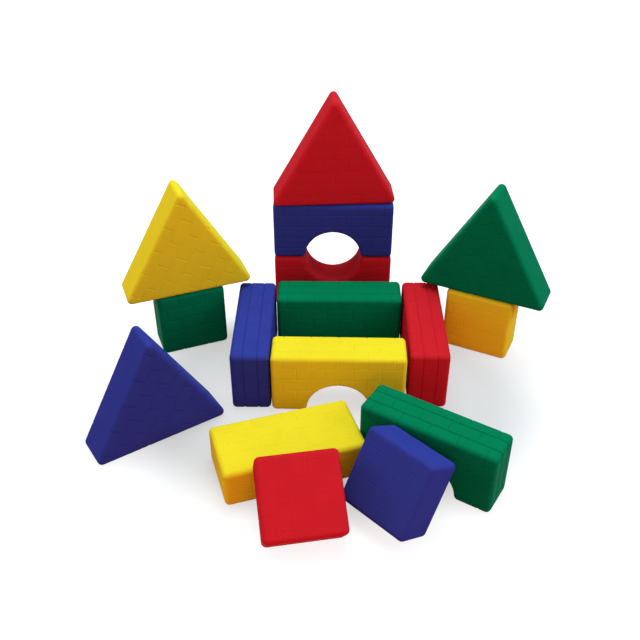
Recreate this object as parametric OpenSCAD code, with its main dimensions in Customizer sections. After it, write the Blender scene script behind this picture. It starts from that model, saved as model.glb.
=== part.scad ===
// Set of giant play blocks laid out as a castle.
// Four colours, each as a long block, an arch, a square and a triangle, all with rounded edges.
// X runs to the right of the castle front, Y to its back, Z up; the floor is z = 0.

/* [Blocks] */
// Length of a long block and of an arch, and the width of a triangle
block_l = 300; // [270:1:330]
// Height of a long block and of an arch
block_h = 150; // [138:1:162]
// Thickness of every block
block_t = 88; // [80:1:96]
// How much taller a square is than a long block
square_extra = 13; // [6:1:20]
// Rounding of every edge
edge_r = 10; // [7:0.5:12]
// Radius of the half-round opening of an arch
arch_r = 71; // [66:0.5:82]
// Clearance between a block and the one that it stands on
stack_clear = 0.1; // [0.05:0.05:0.5]

/* [Castle] */
// Gap between an end of the back wall and a side wall
wall_gap = 5; // [3.5:0.5:8]
// How far each side wall is pushed out of line, forwards on the left and back on the right
wall_shift = 3; // [0:0.5:6]
// How far the back wall stands out behind the side walls
back_step = 6; // [0:0.5:12]
// How far the gate stands out in front of the side walls
front_step = 9.5; // [0:0.5:16]
// Turn of the gate
gate_yaw = -0.75; // [-1:0.25:1]
// How far the gate stands left of the middle
gate_left = 2.5; // [0:0.25:2.5]
// Clear way between the back wall and the tower
tower_gap = 102; // [90:1:130]
// How far the tower stands left of the middle
tower_left = 15; // [0:1:30]
// Turn of the roof on the tower
tower_roof_yaw = 3.5; // [0:0.5:6]

/* [Turrets] */
// Clear way between the left wall and the left turret
left_gap = 37; // [30:1:50]
// Turn of the left turret
left_yaw = 21.5; // [15:0.5:28]
// Distance of the left turret behind the middle
left_back = 112.5; // [102:0.5:122]
// Clear way between the right wall and the right turret
right_gap = 17.5; // [12:0.5:30]
// Turn of the right turret
right_yaw = -25; // [-30:1:-18]
// Distance of the right turret behind the middle
right_back = 102; // [93:0.5:114]

/* [Loose blocks] */
// Clear way between the left wall and the loose triangle
loose_gap = 14.5; // [10:0.5:30]
// Turn of the loose triangle
loose_yaw = 34; // [28:0.5:40]
// Distance of the loose triangle in front of the middle
loose_front = 222; // [210:1:240]
// Clear way between the gate and the lying block
lying_gap = 53.5; // [45:0.5:70]
// Turn of the lying block
lying_yaw = 18; // [12:1:24]
// Distance of the lying block left of the middle
lying_left = 109.5; // [99:0.5:120]
// Gap between the lying block and the loose arch
arch_gap = 1; // [0.5:0.5:6]
// Turn of the loose arch
arch_yaw = -31.5; // [-36:0.5:-27]
// How far the loose arch stands in front of the lying block's middle
arch_front = 108; // [96:1:120]

/* [Leaning squares] */
// Lean of the red square, back from upright
red_lean = 53.5; // [48:0.5:56]
// Turn of the red square
red_yaw = 10; // [6:0.5:13]
// Lean of the blue square, back from upright
blue_lean = 31; // [28:0.5:36]
// Turn of the blue square
blue_yaw = -44.5; // [-47:0.5:-40]
// Where the blue square meets the loose arch, measured left from its middle
blue_meet = 66; // [52:1:69]
// Gap between the two leaning squares
square_gap = 3.5; // [2:0.5:8]
// Clearance between a leaning square and what it leans on
lean_clear = 0.4; // [0.3:0.1:1]

/* [Hidden] */
$fn = 96;

square_s = block_h + square_extra;
storey = block_h + stack_clear;
turret_top = square_s + stack_clear;
triangle_side = block_l + 2 * edge_r * (sqrt(3) - 1);
triangle_h = triangle_side * sin(60);
core_t = block_t - 2 * edge_r;
core_s = square_s - 2 * edge_r;

red = [0.78, 0.06, 0.09];
blue = [0.10, 0.16, 0.55];
yellow = [0.96, 0.82, 0.06];
green = [0.00, 0.42, 0.25];

// Plan geometry
function turn(p, a) = [p[0] * cos(a) - p[1] * sin(a), p[0] * sin(a) + p[1] * cos(a)];
function half(len) = len / 2 - edge_r;
function reach_x(len, deep, a) = half(len) * abs(cos(a)) + half(deep) * abs(sin(a)) + edge_r;
function reach_y(len, deep, a) = half(len) * abs(sin(a)) + half(deep) * abs(cos(a)) + edge_r;
function tip_reach(c, s) = s > sqrt(6) * c
  ? half(block_l) * c + core_t / 2 * s + edge_r * sqrt(3 * c * c + s * s)
  : block_l / 2 * c + (core_t / 2 + edge_r * sqrt(2 / 3)) * s;
function span(at, rx, ry) = [at - [rx, ry], at + [rx, ry]];
function box_span(at, len, deep, a) = span(at, reach_x(len, deep, a), reach_y(len, deep, a));
function tip_span(at, a) =
  span(at, tip_reach(abs(cos(a)), abs(sin(a))), tip_reach(abs(sin(a)), abs(cos(a))));

// Castle walls, gate and tower
wall_x = block_l / 2 + wall_gap + block_t / 2;
wall_out = wall_x + block_t / 2;
left_wall = [-wall_x, -wall_shift];
right_wall = [wall_x, wall_shift];
back_wall = [0, (block_l - block_t) / 2 + back_step];
gate = [-gate_left, -(block_l - block_t) / 2 - front_step];
gate_front = gate[1] - reach_y(block_l, block_t, gate_yaw);
tower = [-tower_left, back_wall[1] + block_t + tower_gap];

// Turrets beside the walls
left_turret = [-wall_out - left_gap - reach_x(square_s, block_t, left_yaw), left_back];
right_turret = [wall_out + right_gap + reach_x(square_s, block_t, right_yaw), right_back];

// Blocks lying about in front of the castle
loose = [-wall_out - loose_gap - tip_reach(cos(loose_yaw), sin(loose_yaw)), -loose_front];
lying = [-lying_left, gate_front - lying_gap - reach_y(block_l, block_h, lying_yaw)];
arch_side = block_l / 2 + arch_gap + reach_x(block_l, block_t, arch_yaw - lying_yaw);
loose_arch = lying + turn([arch_side, -arch_front], lying_yaw);

// The blue square's upper left corner meets the front face of the loose arch
blue_face = block_t / 2 + edge_r + lean_clear;
blue_corner = loose_arch + turn([-blue_meet, -blue_face], arch_yaw);
blue_foot = blue_corner + turn([core_s / 2, -core_s * sin(blue_lean)], blue_yaw);
blue_toe = blue_foot - turn([core_s / 2, core_t * cos(blue_lean)], blue_yaw);

// The red square's back, or its top edge if it is too short, meets the lying block's upper front edge
touch = 2 * edge_r + lean_clear;
face_reach = (touch + core_t * sin(red_lean)) / cos(red_lean);
meets_face = face_reach * sin(red_lean) + core_t * cos(red_lean) < core_s;
rise = core_t - core_s * cos(red_lean);
top_reach = core_s * sin(red_lean) + (rise > 0 ? touch : sqrt(touch * touch - rise * rise));
red_reach = meets_face ? face_reach : top_reach;

// Along its own axes, the red square stands left of the blue one and meets that edge at its left side
toe = turn(blue_toe, -red_yaw);
edge = turn(lying + turn([0, -half(block_h)], lying_yaw), -red_yaw);
red_left = toe[0] - 2 * edge_r - square_gap - core_s;
red_edge = edge[1] + (red_left - edge[0]) * tan(lying_yaw - red_yaw);
red_foot = turn([red_left + core_s / 2, red_edge - red_reach], red_yaw);

// Outermost points of a leaning square about the line that it stands on
function lean_span(foot, lean, yaw) =
  [for (s = [-1, 1], d = [0, core_t], u = [0, core_s], e = [-edge_r, edge_r])
    foot + [e, e] + turn([s * core_s / 2, u * sin(lean) - d * cos(lean)], yaw)];

// The origin is the middle of the set's outline on the floor
outer = concat(
  tip_span(loose, loose_yaw),
  tip_span(left_turret, left_yaw),
  tip_span(right_turret, right_yaw),
  tip_span(tower, tower_roof_yaw),
  box_span(tower, block_l, block_t, 0),
  box_span(loose_arch, block_l, block_t, arch_yaw),
  box_span(lying, block_l, block_h, lying_yaw),
  lean_span(red_foot, red_lean, red_yaw),
  lean_span(blue_foot, blue_lean, blue_yaw));
xs = [for (p = outer) p[0]];
ys = [for (p = outer) p[1]];
middle = [min(xs) + max(xs), min(ys) + max(ys)] / 2;

// A rod of the edge radius between two points, for a rounded edge
module rod(p, q) {
  d = q - p;
  translate(p) rotate([0, acos(d[2] / norm(d)), atan2(d[1], d[0])]) cylinder(r = edge_r, h = norm(d));
}

// A box from the floor up, centred in plan
module slab(a, b, c) {
  translate([-a / 2, -b / 2, 0]) cube([a, b, c]);
}

// A box with every edge and corner rounded
module rounded_box(a, b, c) {
  x = half(a);
  y = half(b);
  top = c - edge_r;
  slab(2 * x, 2 * y, c);
  translate([0, 0, edge_r]) slab(a, 2 * y, c - 2 * edge_r);
  translate([0, 0, edge_r]) slab(2 * x, b, c - 2 * edge_r);
  for (z = [edge_r, top], s = [-1, 1]) {
    rod([-x, s * y, z], [x, s * y, z]);
    rod([s * x, -y, z], [s * x, y, z]);
    for (t = [-1, 1]) translate([s * x, t * y, z]) sphere(r = edge_r);
  }
  for (s = [-1, 1], t = [-1, 1]) rod([s * x, t * y, edge_r], [s * x, t * y, top]);
}

// A long block standing on its narrow side
module long_block() {
  rounded_box(block_l, block_t, block_h);
}

module square_block() {
  rounded_box(square_s, block_t, square_s);
}

// What is cut from an arch: a half-round opening with rounded rims
module arch_cut() {
  rim = block_t / 2 - edge_r;
  rotate([90, 0, 0]) rotate_extrude() {
    translate([0, -block_t]) square([arch_r, 2 * block_t]);
    for (s = [0, 1]) mirror([0, s]) difference() {
      translate([arch_r - edge_r, rim]) square([2 * edge_r, block_t]);
      translate([arch_r + edge_r, rim]) circle(r = edge_r);
    }
  }
}

module arch_block() {
  difference() {
    long_block();
    arch_cut();
  }
}

// One side of a triangle as an endless slab with both its long edges rounded
module triangle_side_slab() {
  rotate([90, 0, 90]) linear_extrude(2 * triangle_side, center = true) {
    translate([-block_t / 2, edge_r]) square([block_t, triangle_side]);
    translate([-core_t / 2, 0]) square([core_t, triangle_side]);
    for (s = [-1, 1]) translate([s * core_t / 2, edge_r]) circle(r = edge_r);
  }
}

// The outline of a triangle with its three corners rounded
module triangle_outline() {
  x = half(block_l);
  tips = [[-x, edge_r], [x, edge_r], [0, edge_r + 2 * x * sin(60)]];
  rotate([90, 0, 0]) linear_extrude(2 * block_t, center = true) {
    polygon(tips);
    for (i = [0:2]) {
      p = tips[i];
      q = tips[(i + 1) % 3];
      d = (q - p) / norm(q - p);
      n = [d[1], -d[0]] * edge_r;
      polygon([p, p + n, q + n, q]);
      translate(p) circle(r = edge_r);
    }
  }
}

module triangle_block() {
  mid = triangle_h / 3;
  intersection() {
    translate([0, 0, mid]) intersection_for(a = [0, 120, 240])
      rotate([0, a, 0]) translate([0, 0, -mid]) triangle_side_slab();
    triangle_outline();
  }
}

// Puts a block at a place in the plan, turned and raised
module put(at, a, z = 0) {
  translate([at[0] - middle[0], at[1] - middle[1], z]) rotate([0, 0, a]) children();
}

// Leans a square back about the rounded edge that it stands on
module lean_square(foot, lean, a) {
  put(foot, a, edge_r) rotate([-lean, 0, 0]) translate([0, -core_t / 2, -edge_r]) square_block();
}

module red_triangle() color(red) put(tower, tower_roof_yaw, 2 * storey) triangle_block();

module blue_arch() color(blue) put(tower, 0, storey) arch_block();

module red_arch() color(red) put(tower, 0, block_h) rotate([0, 180, 0]) arch_block();

module yellow_triangle() color(yellow) put(left_turret, left_yaw, turret_top) triangle_block();

module green_square() color(green) put(left_turret, left_yaw) square_block();

module green_triangle() color(green) put(right_turret, right_yaw, turret_top) triangle_block();

module yellow_square() color(yellow) put(right_turret, right_yaw) square_block();

module blue_block() color(blue) put(left_wall, 90) long_block();

module green_block() color(green) put(back_wall, 0) long_block();

module red_block() color(red) put(right_wall, -90) long_block();

module yellow_arch() color(yellow) put(gate, gate_yaw) arch_block();

module blue_triangle() color(blue) put(loose, loose_yaw) triangle_block();

module yellow_block() color(yellow) put(lying, lying_yaw) rounded_box(block_l, block_h, block_t);

module red_square() color(red) lean_square(red_foot, red_lean, red_yaw);

module blue_square() color(blue) lean_square(blue_foot, blue_lean, blue_yaw);

module green_arch() color(green) put(loose_arch, arch_yaw) arch_block();

red_triangle();
blue_arch();
red_arch();
yellow_triangle();
green_square();
green_triangle();
yellow_square();
blue_block();
green_block();
red_block();
yellow_arch();
blue_triangle();
yellow_block();
red_square();
blue_square();
green_arch();
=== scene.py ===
import math

import bmesh
import bpy
from mathutils import Matrix, Vector


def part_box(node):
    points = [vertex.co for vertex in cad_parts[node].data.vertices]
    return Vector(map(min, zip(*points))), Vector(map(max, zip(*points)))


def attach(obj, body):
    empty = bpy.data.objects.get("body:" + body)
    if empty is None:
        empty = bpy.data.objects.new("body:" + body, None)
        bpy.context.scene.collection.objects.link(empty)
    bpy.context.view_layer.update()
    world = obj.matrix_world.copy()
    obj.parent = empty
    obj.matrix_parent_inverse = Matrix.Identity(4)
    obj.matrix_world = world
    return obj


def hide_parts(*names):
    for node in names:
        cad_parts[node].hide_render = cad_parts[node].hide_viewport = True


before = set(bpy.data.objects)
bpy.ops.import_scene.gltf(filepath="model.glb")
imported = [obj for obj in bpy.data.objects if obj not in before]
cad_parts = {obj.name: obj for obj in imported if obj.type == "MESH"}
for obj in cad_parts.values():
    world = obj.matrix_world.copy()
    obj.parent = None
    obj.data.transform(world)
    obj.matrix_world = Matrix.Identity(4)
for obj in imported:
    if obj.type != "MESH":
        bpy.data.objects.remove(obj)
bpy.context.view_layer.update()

# Sizes of the blocks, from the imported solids, in metres
wall_low, wall_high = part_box("green_block")
block_length, block_thick, block_height = wall_high - wall_low
square_low, square_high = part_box("green_square")
square_side = square_high.z - square_low.z
opening_radius = 0.071

# Rounded edges: the outline's corners are a little rounder than the rims, so that no face shrinks to a point
rim_round = 0.010
corner_round = 0.0106
rim_steps = 5
corner_step = math.radians(15)
opening_step = math.radians(4)

# Triangles have three equal sides and are as wide as a block is long, over their rounded tips: the tips are
# rounded about points this far to each side, and the middle is this far above the foot
roof_corner = block_length / 2 - rim_round
roof_middle = rim_round + roof_corner / math.sqrt(3)

# Pressed brick pattern
brick_length = 0.0625
course_height = 0.03125
bond_shift = 0.5
end_margin = 0.012
most_bricks = 4

# Long grooves of each kind of side, in courses from its middle line, and their number on a triangle
large_rows = (-1.5, -0.5, 0.5, 1.5)
narrow_rows = (-0.5, 0.5)
roof_rows = 7

# Where the joints of the first course start, in bricks from the middle
block_start = 0
square_start = 0.5

# A groove, and where it is cut, as shares of half its width
groove_width = 0.0050
groove_depth = 0.0017
groove_steps = (-1, -2 / 3, -1 / 3, 0, 1 / 3, 2 / 3, 1)

# Depth of the long grooves and of the joints between bricks, as shares of the deepest
large_depths = (0.5, 0.5)
roof_depths = (0.45, 0.9)
block_narrow_depths = (1.0, 0.6)
square_narrow_depths = (0.4, 0.4)

# Grooves run on over the rounding beside a side and fade out there, as it turns away from that side
panel_reach = 0.011
fade_start = 0.62
fade_end = 0.28
cut_end = 0.18

# Smaller than any detail, and farther than any block reaches
tiny = 1e-6
far = 1.0

# How each block stands: its turn in plan, its lean back from upright and its roll about its own thickness, in
# degrees, and how deeply its bricks are pressed
standing = {
    "red_triangle": (3.5, 0, 0, 0.5),
    "blue_arch": (0, 0, 0, 1.0),
    "red_arch": (0, 0, 180, 1.0),
    "yellow_triangle": (21.5, 0, 120, 1.0),
    "green_square": (21.5, 0, 0, 1.5),
    "green_triangle": (-25, 0, -120, 0.7),
    "yellow_square": (-25, 0, 0, 0.7),
    "blue_block": (90, 0, 0, 1.0),
    "green_block": (0, 0, 0, 1.0),
    "red_block": (-90, 0, 0, 1.0),
    "yellow_arch": (-0.75, 0, 0, 0.7),
    "blue_triangle": (34, 0, 120, 1.3),
    "yellow_block": (18, 90, 0, 0.5),
    "red_square": (10, 53.5, 90, 0.5),
    "blue_square": (-44.5, 31, 0, 0.35),
    "green_arch": (-31.5, 0, 0, 1.3),
}

# Foam: its colour, and the darker colour of its mottling and of the painted shade in its groove beds
foam_colours = {
    "red": ((0.60, 0.015, 0.027), (0.495, 0.010, 0.0195)),
    "blue": ((0.032, 0.0465, 0.338), (0.0245, 0.0345, 0.263)),
    "yellow": ((0.873, 0.72, 0.026), (0.80, 0.605, 0.023)),
    "green": ((0.001, 0.195, 0.091), (0.0005, 0.143, 0.063)),
}
foam_gloss = 0.006

# Patterns of the foam's skin: how fine and how detailed each is, and the part of its range that is used
mottle_scale = 22
mottle_detail = 4
peel_scale = 240
grain_scale = 1100
fine_detail = 2
mottle_span = (0.35, 0.7)
fine_span = (0.3, 0.7)
whole_span = (0.0, 1.0)

# What the patterns do: shares of the shade colour (in the groove beds this is painted shade), roughness, and
# heights of the bump
mottle_shade = (0.0, 0.28)
groove_painted_shade = (0.0, 0.35)
grain_shade = (-0.06, 0.06)
peel_rough = (0.50, 0.62)
groove_rough = (0.0, 0.15)
peel_height = (0.0, 0.7)
grain_height = (0.0, 0.3)
mottle_height = (0.0, 2.0)
bump_strength = 0.4
bump_distance = 0.0006

# Floor: its tone to the camera, beneath its own glow, and a warm tone for the light that it throws back
floor_reach = 8
floor_rough = 0.9
floor_seen = (0.26, 0.27, 0.31, 1)
floor_thrown = (0.68, 0.22, 0.20, 1)

# Painted shadow under the castle, a soft patch of lower floor glow: its squash in depth, how much of the ramp
# a metre takes, and the glow along the ramp, from the middle outwards
shadow_squash = (1.0, 1.35, 1.0)
shadow_scale = 0.6
shadow_glow = ((0.0, 0.64), (0.12, 0.60), (0.18, 0.48), (0.22, 0.48), (0.34, 0.83), (0.46, 1.0))

# Lamps: place, what each points at, width in metres, power in watts, colour
lamps = {
    "overhead": ((0.0, 0.6, 3.0), (0.0, 0.0, 0.0), 1.5, 46, (0.77, 1.0, 0.80)),
    "left_softbox": ((-2.4, 0.2, 1.0), (0.0, 0.1, 0.1), 1.6, 12.4, (1.0, 1.0, 1.0)),
    "right_softbox": ((2.2, -0.5, 1.4), (0.0, 0.1, 0.1), 1.6, 23.5, (0.80, 0.92, 1.0)),
    "back_softbox": ((0.0, 3.0, 1.5), (0.0, 0.0, 0.2), 2.0, 14, (0.8, 0.96, 1.0)),
    "front_fill": ((0.0, -2.0, 1.1), (0.0, 0.0, 0.1), 1.4, 12.4, (1.0, 0.44, 0.26)),
}

# Light from all round: its strength at the horizon and straight up
sky_low = 0.02
sky_high = 0.6
white = (1, 1, 1, 1)

# Camera at the photograph's place, its tilt down from level and its turn in radians
image_size = 640
focal_pixels = 847.88
sensor_width = 36
camera_spot = (-0.00476, -1.477, 1.30296)
camera_tilt = 0.62983
camera_turn = 0.0098

X = Vector((1, 0, 0))
Y = Vector((0, 1, 0))
Z = Vector((0, 0, 1))


def outline(corners):
    """A flat upright outline of arcs, each with its centre, radius, angles and step, and straight lines."""
    bm = bmesh.new()
    ends = []
    for (x, z), radius, start, end, step in corners:
        start, end = math.radians(start), math.radians(end)
        centre = Vector((x, 0, z))
        first = bm.verts.new(centre + radius * Vector((math.cos(start), 0, math.sin(start))))
        steps = round(abs(end - start) / step)
        made = bmesh.ops.spin(bm, geom=[first], cent=centre, axis=-Y, angle=end - start, steps=steps)
        last = [g for g in made["geom_last"] if isinstance(g, bmesh.types.BMVert)][0]
        ends.append((first, last))
    for (_, last), (first, _) in zip(ends, ends[1:] + ends[:1]):
        if (last.co - first.co).length > tiny:
            bm.edges.new((last, first))
    bmesh.ops.remove_doubles(bm, verts=bm.verts[:], dist=tiny)
    bmesh.ops.contextual_create(bm, geom=bm.edges[:])
    return bm


def thicken(bm):
    """Gives a flat outline the blocks' thickness and rounds both rims."""
    bmesh.ops.translate(bm, verts=bm.verts[:], vec=-Y * block_thick / 2)
    front = bm.faces[:]
    rim = front[0].edges[:]
    made = bmesh.ops.extrude_face_region(bm, geom=front, use_keep_orig=True)["geom"]
    back = [g for g in made if isinstance(g, bmesh.types.BMVert)]
    bmesh.ops.translate(bm, verts=back, vec=Y * block_thick)
    rim += [g for g in made if isinstance(g, bmesh.types.BMEdge)]
    bmesh.ops.recalc_face_normals(bm, faces=bm.faces[:])
    bmesh.ops.bevel(bm, geom=rim, offset=rim_round, offset_type="OFFSET", affect="EDGES", segments=rim_steps,
                    profile=0.5, material=-1, clamp_overlap=False)
    bmesh.ops.remove_doubles(bm, verts=bm.verts[:], dist=tiny)
    bmesh.ops.recalc_face_normals(bm, faces=bm.faces[:])
    return bm


def slab(length, height):
    """A long block or a square, about its middle."""
    x = length / 2 - corner_round
    z = height / 2 - corner_round
    corners = [((x, -z), 270), ((x, z), 0), ((-x, z), 90), ((-x, -z), 180)]
    return thicken(outline([(c, corner_round, a, a + 90, corner_step) for c, a in corners]))


def arch():
    """A long block with a half-round opening in its lower side, about the block's middle."""
    x = block_length / 2 - corner_round
    z = block_height / 2 - corner_round
    reach = opening_radius + corner_round
    foot = math.sqrt(reach ** 2 - corner_round ** 2)
    slope = math.degrees(math.asin(corner_round / reach))
    corners = [((foot, -z), 180 + slope, 270), ((x, -z), 270, 360), ((x, z), 0, 90), ((-x, z), 90, 180),
               ((-x, -z), 180, 270), ((-foot, -z), 270, 360 - slope)]
    arcs = [(c, corner_round, a, b, corner_step) for c, a, b in corners]
    arcs.append(((0, -block_height / 2), opening_radius, 180 - slope, slope, opening_step))
    return thicken(outline(arcs))


def roof():
    """A triangle block, about the point that is as far from each of its sides."""
    inner = corner_round - rim_round
    low = corner_round - roof_middle
    side = roof_corner - inner * math.sqrt(3)
    corners = [((side, low), 270), ((0, low + side * math.sqrt(3)), 30), ((-side, low), 150)]
    return thicken(outline([(c, corner_round, a, a + 120, corner_step) for c, a in corners]))


def dip(distance):
    """The shape of a groove across its width: 1 in its bed, 0 at its sides."""
    if distance >= groove_width / 2:
        return 0.0
    return 0.5 + 0.5 * math.cos(2 * math.pi * distance / groove_width)


class Panel:
    """One flat side of a block: where it lies, which way its courses run, and its grooves."""

    def __init__(self, normal, along, middle, half_length, grooves, start, depths):
        self.normal = normal
        self.along = along
        self.across = normal.cross(along)
        self.middle = middle
        self.bed_depth, self.joint_depth = depths
        self.grooves = sorted(grooves)
        bounds = [-far] + self.grooves + [far]
        self.courses = []
        for row, (low, high) in enumerate(zip(bounds, bounds[1:])):
            first = start + bond_shift * (row % 2)
            places = [(k + first) * brick_length for k in range(-most_bricks, most_bricks + 1)]
            joints = [p for p in places if abs(p) < half_length - end_margin]
            self.courses.append((low, high, joints))

    def faces(self, bm, low=-far, high=far):
        """The panel's faces with the roundings beside it, within a course."""
        found = []
        for f in bm.faces:
            spot = f.calc_center_median() - self.middle
            if f.normal.dot(self.normal) > cut_end and spot.dot(self.normal) > -panel_reach:
                if low < spot.dot(self.across) < high:
                    found.append(f)
        return found

    def cut(self, bm, faces, direction, place):
        """Cuts faces along the sides, the slopes and the bed of one groove."""
        for step in groove_steps:
            geom = set(faces)
            for f in faces:
                geom.update(f.edges)
                geom.update(f.verts)
            spot = self.middle + direction * (place + step * groove_width / 2)
            made = bmesh.ops.bisect_plane(bm, geom=list(geom), dist=tiny, plane_co=spot, plane_no=direction)
            faces = [g for g in made["geom"] if isinstance(g, bmesh.types.BMFace)]

    def cut_all(self, bm):
        """Cuts the long grooves, then the joints within each course."""
        for place in self.grooves:
            self.cut(bm, self.faces(bm), self.across, place)
        for low, high, joints in self.courses:
            for place in joints:
                self.cut(bm, self.faces(bm, low, high), self.along, place)

    def depth(self, spot, normal):
        """How deep the pattern is pressed at a point, as a share of the deepest groove."""
        away = spot - self.middle
        turn = normal.dot(self.normal)
        if turn < fade_end or away.dot(self.normal) < -panel_reach:
            return 0.0
        fade = min(1.0, (turn - fade_end) / (fade_start - fade_end))
        across = away.dot(self.across)
        along = away.dot(self.along)
        deep = self.bed_depth * dip(min(abs(across - g) for g in self.grooves))
        for low, high, joints in self.courses:
            if low - tiny <= across <= high + tiny and joints:
                deep = max(deep, self.joint_depth * dip(min(abs(along - j) for j in joints)))
        return fade * deep


def press(bm, panels, pressing):
    """Presses the brick pattern into a block and keeps its depth as the attribute groove."""
    for panel in panels:
        panel.cut_all(bm)
    bm.normal_update()
    groove = bm.verts.layers.float.new("groove")
    moves = []
    for v in bm.verts:
        deep = pressing * max(panel.depth(v.co, v.normal) for panel in panels)
        v[groove] = deep
        moves.append((v, v.normal.copy() * deep * groove_depth))
    for v, move in moves:
        v.co -= move
    bm.normal_update()


def slab_panels(length, height, start, narrow_depths):
    """The six sides of a long block, an arch or a square."""
    large = [course_height * k for k in large_rows]
    narrow = [course_height * k for k in narrow_rows]
    sides = [
        (Y, X, block_thick, length, large, large_depths),
        (Z, X, height, length, narrow, narrow_depths),
        (X, Z, length, height, narrow, narrow_depths),
    ]
    panels = []
    for s in (-1, 1):
        for normal, along, apart, run, grooves, depths in sides:
            middle = normal * s * apart / 2
            panels.append(Panel(normal * s, along, middle, run / 2, grooves, start, depths))
    return panels


def roof_panels():
    """The two large sides of a triangle, with courses as high as a block's: its narrow sides are plain."""
    lowest = block_height / 2 + large_rows[0] * course_height
    rows = [lowest - roof_middle + course_height * k for k in range(roof_rows)]
    panels = []
    for s in (-1, 1):
        grooves = [r * (-s) for r in rows]
        middle = Y * s * block_thick / 2
        panels.append(Panel(Y * s, X, middle, block_length, grooves, block_start, roof_depths))
    return panels


long_panels = slab_panels(block_length, block_height, block_start, block_narrow_depths)
square_panels = slab_panels(square_side, square_side, square_start, square_narrow_depths)
triangle_panels = roof_panels()
shapes = {}


def block_mesh(shape, pressing):
    """The mesh of one kind of block about its middle, its bricks pressed in more or less deeply."""
    if (shape, pressing) not in shapes:
        if shape == "block":
            bm, panels = slab(block_length, block_height), long_panels
        elif shape == "square":
            bm, panels = slab(square_side, square_side), square_panels
        elif shape == "arch":
            bm, panels = arch(), long_panels
        else:
            bm, panels = roof(), triangle_panels
        press(bm, panels, pressing)
        mesh = bpy.data.meshes.new(shape)
        bm.to_mesh(mesh)
        bm.free()
        shapes[shape, pressing] = mesh
    return shapes[shape, pressing].copy()


def foam_skin():
    """Shared skin of moulded foam: soft mottling, fine grain, groove beds darkened with painted shade."""
    group = bpy.data.node_groups.new("foam_skin", "ShaderNodeTree")
    group.interface.new_socket("Foam Colour", in_out="INPUT", socket_type="NodeSocketColor")
    group.interface.new_socket("Shade Colour", in_out="INPUT", socket_type="NodeSocketColor")
    group.interface.new_socket("Colour", in_out="OUTPUT", socket_type="NodeSocketColor")
    group.interface.new_socket("Roughness", in_out="OUTPUT", socket_type="NodeSocketFloat")
    group.interface.new_socket("Height", in_out="OUTPUT", socket_type="NodeSocketFloat")
    nodes = group.nodes
    link = group.links.new
    start = nodes.new("NodeGroupInput")
    end = nodes.new("NodeGroupOutput")
    place = nodes.new("ShaderNodeTexCoord")
    groove = nodes.new("ShaderNodeAttribute")
    groove.attribute_name = "groove"
    depth = groove.outputs["Fac"]

    def noise(scale, detail):
        node = nodes.new("ShaderNodeTexNoise")
        node.inputs["Scale"].default_value = scale
        node.inputs["Detail"].default_value = detail
        link(place.outputs["Object"], node.inputs["Vector"])
        return node.outputs["Fac"]

    def spread(value, span, result):
        node = nodes.new("ShaderNodeMapRange")
        node.inputs["From Min"].default_value = span[0]
        node.inputs["From Max"].default_value = span[1]
        node.inputs["To Min"].default_value = result[0]
        node.inputs["To Max"].default_value = result[1]
        link(value, node.inputs["Value"])
        return node.outputs["Result"]

    def combine(how, a, b):
        node = nodes.new("ShaderNodeMath")
        node.operation = how
        link(a, node.inputs[0])
        link(b, node.inputs[1])
        return node.outputs["Value"]

    mottle = noise(mottle_scale, mottle_detail)
    peel = noise(peel_scale, fine_detail)
    grain = noise(grain_scale, fine_detail)
    blotches = spread(mottle, mottle_span, mottle_shade)
    # Groove beds are mixed toward the shade colour: painted shade in the grooves
    painted_groove_beds = spread(depth, whole_span, groove_painted_shade)
    specks = spread(grain, fine_span, grain_shade)
    mix = nodes.new("ShaderNodeMix")
    mix.data_type = "RGBA"
    link(combine("ADD", combine("MAXIMUM", blotches, painted_groove_beds), specks), mix.inputs["Factor"])
    link(start.outputs["Foam Colour"], mix.inputs["A"])
    link(start.outputs["Shade Colour"], mix.inputs["B"])
    link(mix.outputs["Result"], end.inputs["Colour"])
    satin = spread(peel, fine_span, peel_rough)
    dull_beds = spread(depth, whole_span, groove_rough)
    link(combine("ADD", satin, dull_beds), end.inputs["Roughness"])
    pores = spread(peel, whole_span, peel_height)
    grit = spread(grain, whole_span, grain_height)
    waves = spread(mottle, whole_span, mottle_height)
    link(combine("ADD", combine("ADD", pores, grit), waves), end.inputs["Height"])
    return group


skin = foam_skin()


def foam(name, colour, shade):
    """One colour of foam with the shared skin."""
    material = bpy.data.materials.new(name + "_foam")
    material.use_nodes = True
    nodes = material.node_tree.nodes
    link = material.node_tree.links.new
    shader = nodes["Principled BSDF"]
    shader.inputs["Specular IOR Level"].default_value = foam_gloss
    cover = nodes.new("ShaderNodeGroup")
    cover.node_tree = skin
    cover.inputs["Foam Colour"].default_value = (*colour, 1)
    cover.inputs["Shade Colour"].default_value = (*shade, 1)
    bump = nodes.new("ShaderNodeBump")
    bump.inputs["Strength"].default_value = bump_strength
    bump.inputs["Distance"].default_value = bump_distance
    link(cover.outputs["Colour"], shader.inputs["Base Color"])
    link(cover.outputs["Roughness"], shader.inputs["Roughness"])
    link(cover.outputs["Height"], bump.inputs["Height"])
    link(bump.outputs["Normal"], shader.inputs["Normal"])
    return material


foams = {name: foam(name, *colours) for name, colours in foam_colours.items()}


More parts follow.
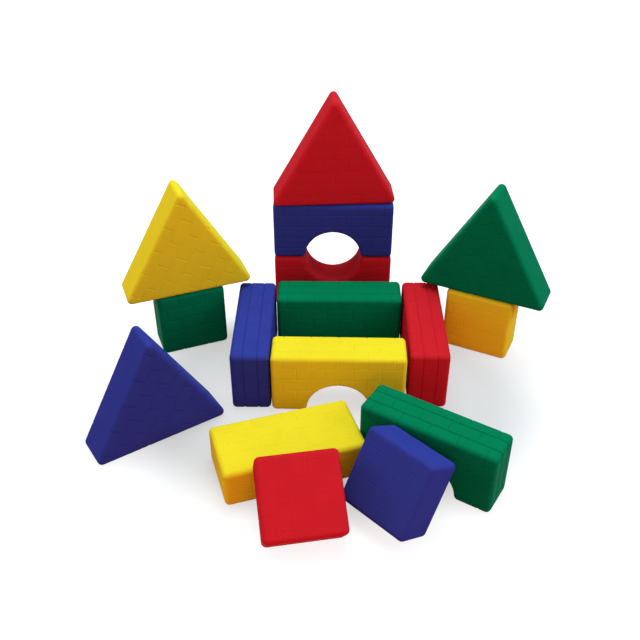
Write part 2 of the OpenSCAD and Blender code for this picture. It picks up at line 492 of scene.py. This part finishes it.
def make_block(node, yaw, lean, roll, pressing):
    """Puts one pressed block where its solid is."""
    colour, shape = node.split("_")
    mesh = block_mesh(shape, pressing)
    low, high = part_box(node)
    spot = (low + high) / 2
    if shape == "triangle":
        spot.z = low.z + roof_middle
    turn = Matrix.Rotation(math.radians(yaw), 4, "Z")
    tip = Matrix.Rotation(math.radians(-lean), 4, "X")
    swing = Matrix.Rotation(math.radians(roll), 4, "Y")
    mesh.transform(Matrix.Translation(spot) @ turn @ tip @ swing)
    mesh.name = node + "_foam"
    mesh.materials.append(foams[colour])
    for polygon in mesh.polygons:
        polygon.use_smooth = True
    piece = bpy.data.objects.new(node + "_foam", mesh)
    bpy.context.scene.collection.objects.link(piece)
    smooth = piece.modifiers.new("flat_bricks", "WEIGHTED_NORMAL")
    smooth.keep_sharp = False
    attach(piece, node)
    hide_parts(node)


for node, stance in standing.items():
    make_block(node, *stance)


def seen_rays(tree):
    """1 where the camera sees a place, also in a mirror or through glass, 0 where light falls on it."""
    ray = tree.nodes.new("ShaderNodeLightPath")
    seen = ray.outputs["Is Camera Ray"]
    for way in ("Is Glossy Ray", "Is Transmission Ray"):
        either = tree.nodes.new("ShaderNodeMath")
        either.operation = "MAXIMUM"
        tree.links.new(seen, either.inputs[0])
        tree.links.new(ray.outputs[way], either.inputs[1])
        seen = either.outputs["Value"]
    return seen


def painted_floor_shadow(tree):
    """The floor's own glow, lower in a soft patch under the castle, which paints a shadow there."""
    nodes = tree.nodes
    link = tree.links.new
    place = nodes.new("ShaderNodeTexCoord")
    patch = nodes.new("ShaderNodeMapping")
    patch.inputs["Scale"].default_value = shadow_squash
    distance = nodes.new("ShaderNodeVectorMath")
    distance.operation = "LENGTH"
    link(place.outputs["Object"], patch.inputs["Vector"])
    link(patch.outputs["Vector"], distance.inputs[0])
    scale = nodes.new("ShaderNodeMath")
    scale.operation = "MULTIPLY"
    scale.inputs[1].default_value = shadow_scale
    ramp = nodes.new("ShaderNodeValToRGB")
    ramp.color_ramp.interpolation = "EASE"
    stops = ramp.color_ramp.elements
    stops[0].position = shadow_glow[0][0]
    stops[1].position = shadow_glow[-1][0]
    for spot, _ in shadow_glow[1:-1]:
        stops.new(spot)
    for stop, (_, value) in zip(stops, shadow_glow):
        stop.color = (value, value, value, 1)
    link(distance.outputs["Value"], scale.inputs[0])
    link(scale.outputs["Value"], ramp.inputs["Fac"])
    return ramp.outputs["Color"]


def floor_paint():
    """Pale to the camera, with the painted shadow patch, and warm to the light that it throws back."""
    material = bpy.data.materials.new("pale_floor")
    material.use_nodes = True
    nodes = material.node_tree.nodes
    link = material.node_tree.links.new
    shader = nodes["Principled BSDF"]
    shader.inputs["Roughness"].default_value = floor_rough
    shader.inputs["Specular IOR Level"].default_value = 0.0
    shader.inputs["Emission Color"].default_value = white
    seen = seen_rays(material.node_tree)
    tone = nodes.new("ShaderNodeMix")
    tone.data_type = "RGBA"
    tone.inputs["A"].default_value = floor_thrown
    tone.inputs["B"].default_value = floor_seen
    link(seen, tone.inputs["Factor"])
    link(tone.outputs["Result"], shader.inputs["Base Color"])
    # The camera sees less glow under the castle: a painted shadow on the floor
    glow = nodes.new("ShaderNodeMath")
    glow.operation = "MULTIPLY"
    link(seen, glow.inputs[0])
    link(painted_floor_shadow(material.node_tree), glow.inputs[1])
    link(glow.outputs["Value"], shader.inputs["Emission Strength"])
    return material


def pale_floor():
    """A plain level floor under the castle."""
    bm = bmesh.new()
    bmesh.ops.create_grid(bm, x_segments=1, y_segments=1, size=floor_reach)
    mesh = bpy.data.meshes.new("floor")
    bm.to_mesh(mesh)
    bm.free()
    mesh.materials.append(floor_paint())
    floor = bpy.data.objects.new("floor", mesh)
    bpy.context.scene.collection.objects.link(floor)


pale_floor()


def studio_light(name, spot, aim, size, power, colour):
    """One round soft lamp."""
    lamp = bpy.data.lights.new(name, "AREA")
    lamp.shape = "DISK"
    lamp.size = size
    lamp.energy = power
    lamp.color = colour
    holder = bpy.data.objects.new(name, lamp)
    holder.location = spot
    holder.rotation_euler = (Vector(aim) - Vector(spot)).to_track_quat("-Z", "Y").to_euler()
    bpy.context.scene.collection.objects.link(holder)


for name, setting in lamps.items():
    studio_light(name, *setting)


def studio_sky():
    """Soft light from all round, brighter overhead; white where the camera sees it."""
    world = bpy.data.worlds.new("studio")
    world.use_nodes = True
    bpy.context.scene.world = world
    nodes = world.node_tree.nodes
    link = world.node_tree.links.new
    sky = nodes["Background"]
    sky.inputs["Color"].default_value = white
    place = nodes.new("ShaderNodeTexCoord")
    parts = nodes.new("ShaderNodeSeparateXYZ")
    level = nodes.new("ShaderNodeMapRange")
    level.inputs["To Min"].default_value = sky_low
    level.inputs["To Max"].default_value = sky_high
    link(place.outputs["Generated"], parts.inputs["Vector"])
    link(parts.outputs["Z"], level.inputs["Value"])
    final = nodes.new("ShaderNodeMath")
    final.operation = "MAXIMUM"
    link(level.outputs["Result"], final.inputs[0])
    link(seen_rays(world.node_tree), final.inputs[1])
    link(final.outputs["Value"], sky.inputs["Strength"])


studio_sky()

camera_data = bpy.data.cameras.new("camera")
camera_data.sensor_width = sensor_width
camera_data.lens = focal_pixels / image_size * sensor_width
camera = bpy.data.objects.new("camera", camera_data)
camera.location = camera_spot
camera.rotation_euler = (math.pi / 2 - camera_tilt, 0, camera_turn)
bpy.context.scene.collection.objects.link(camera)
bpy.context.scene.camera = camera

bpy.context.scene.view_settings.view_transform = "Standard"
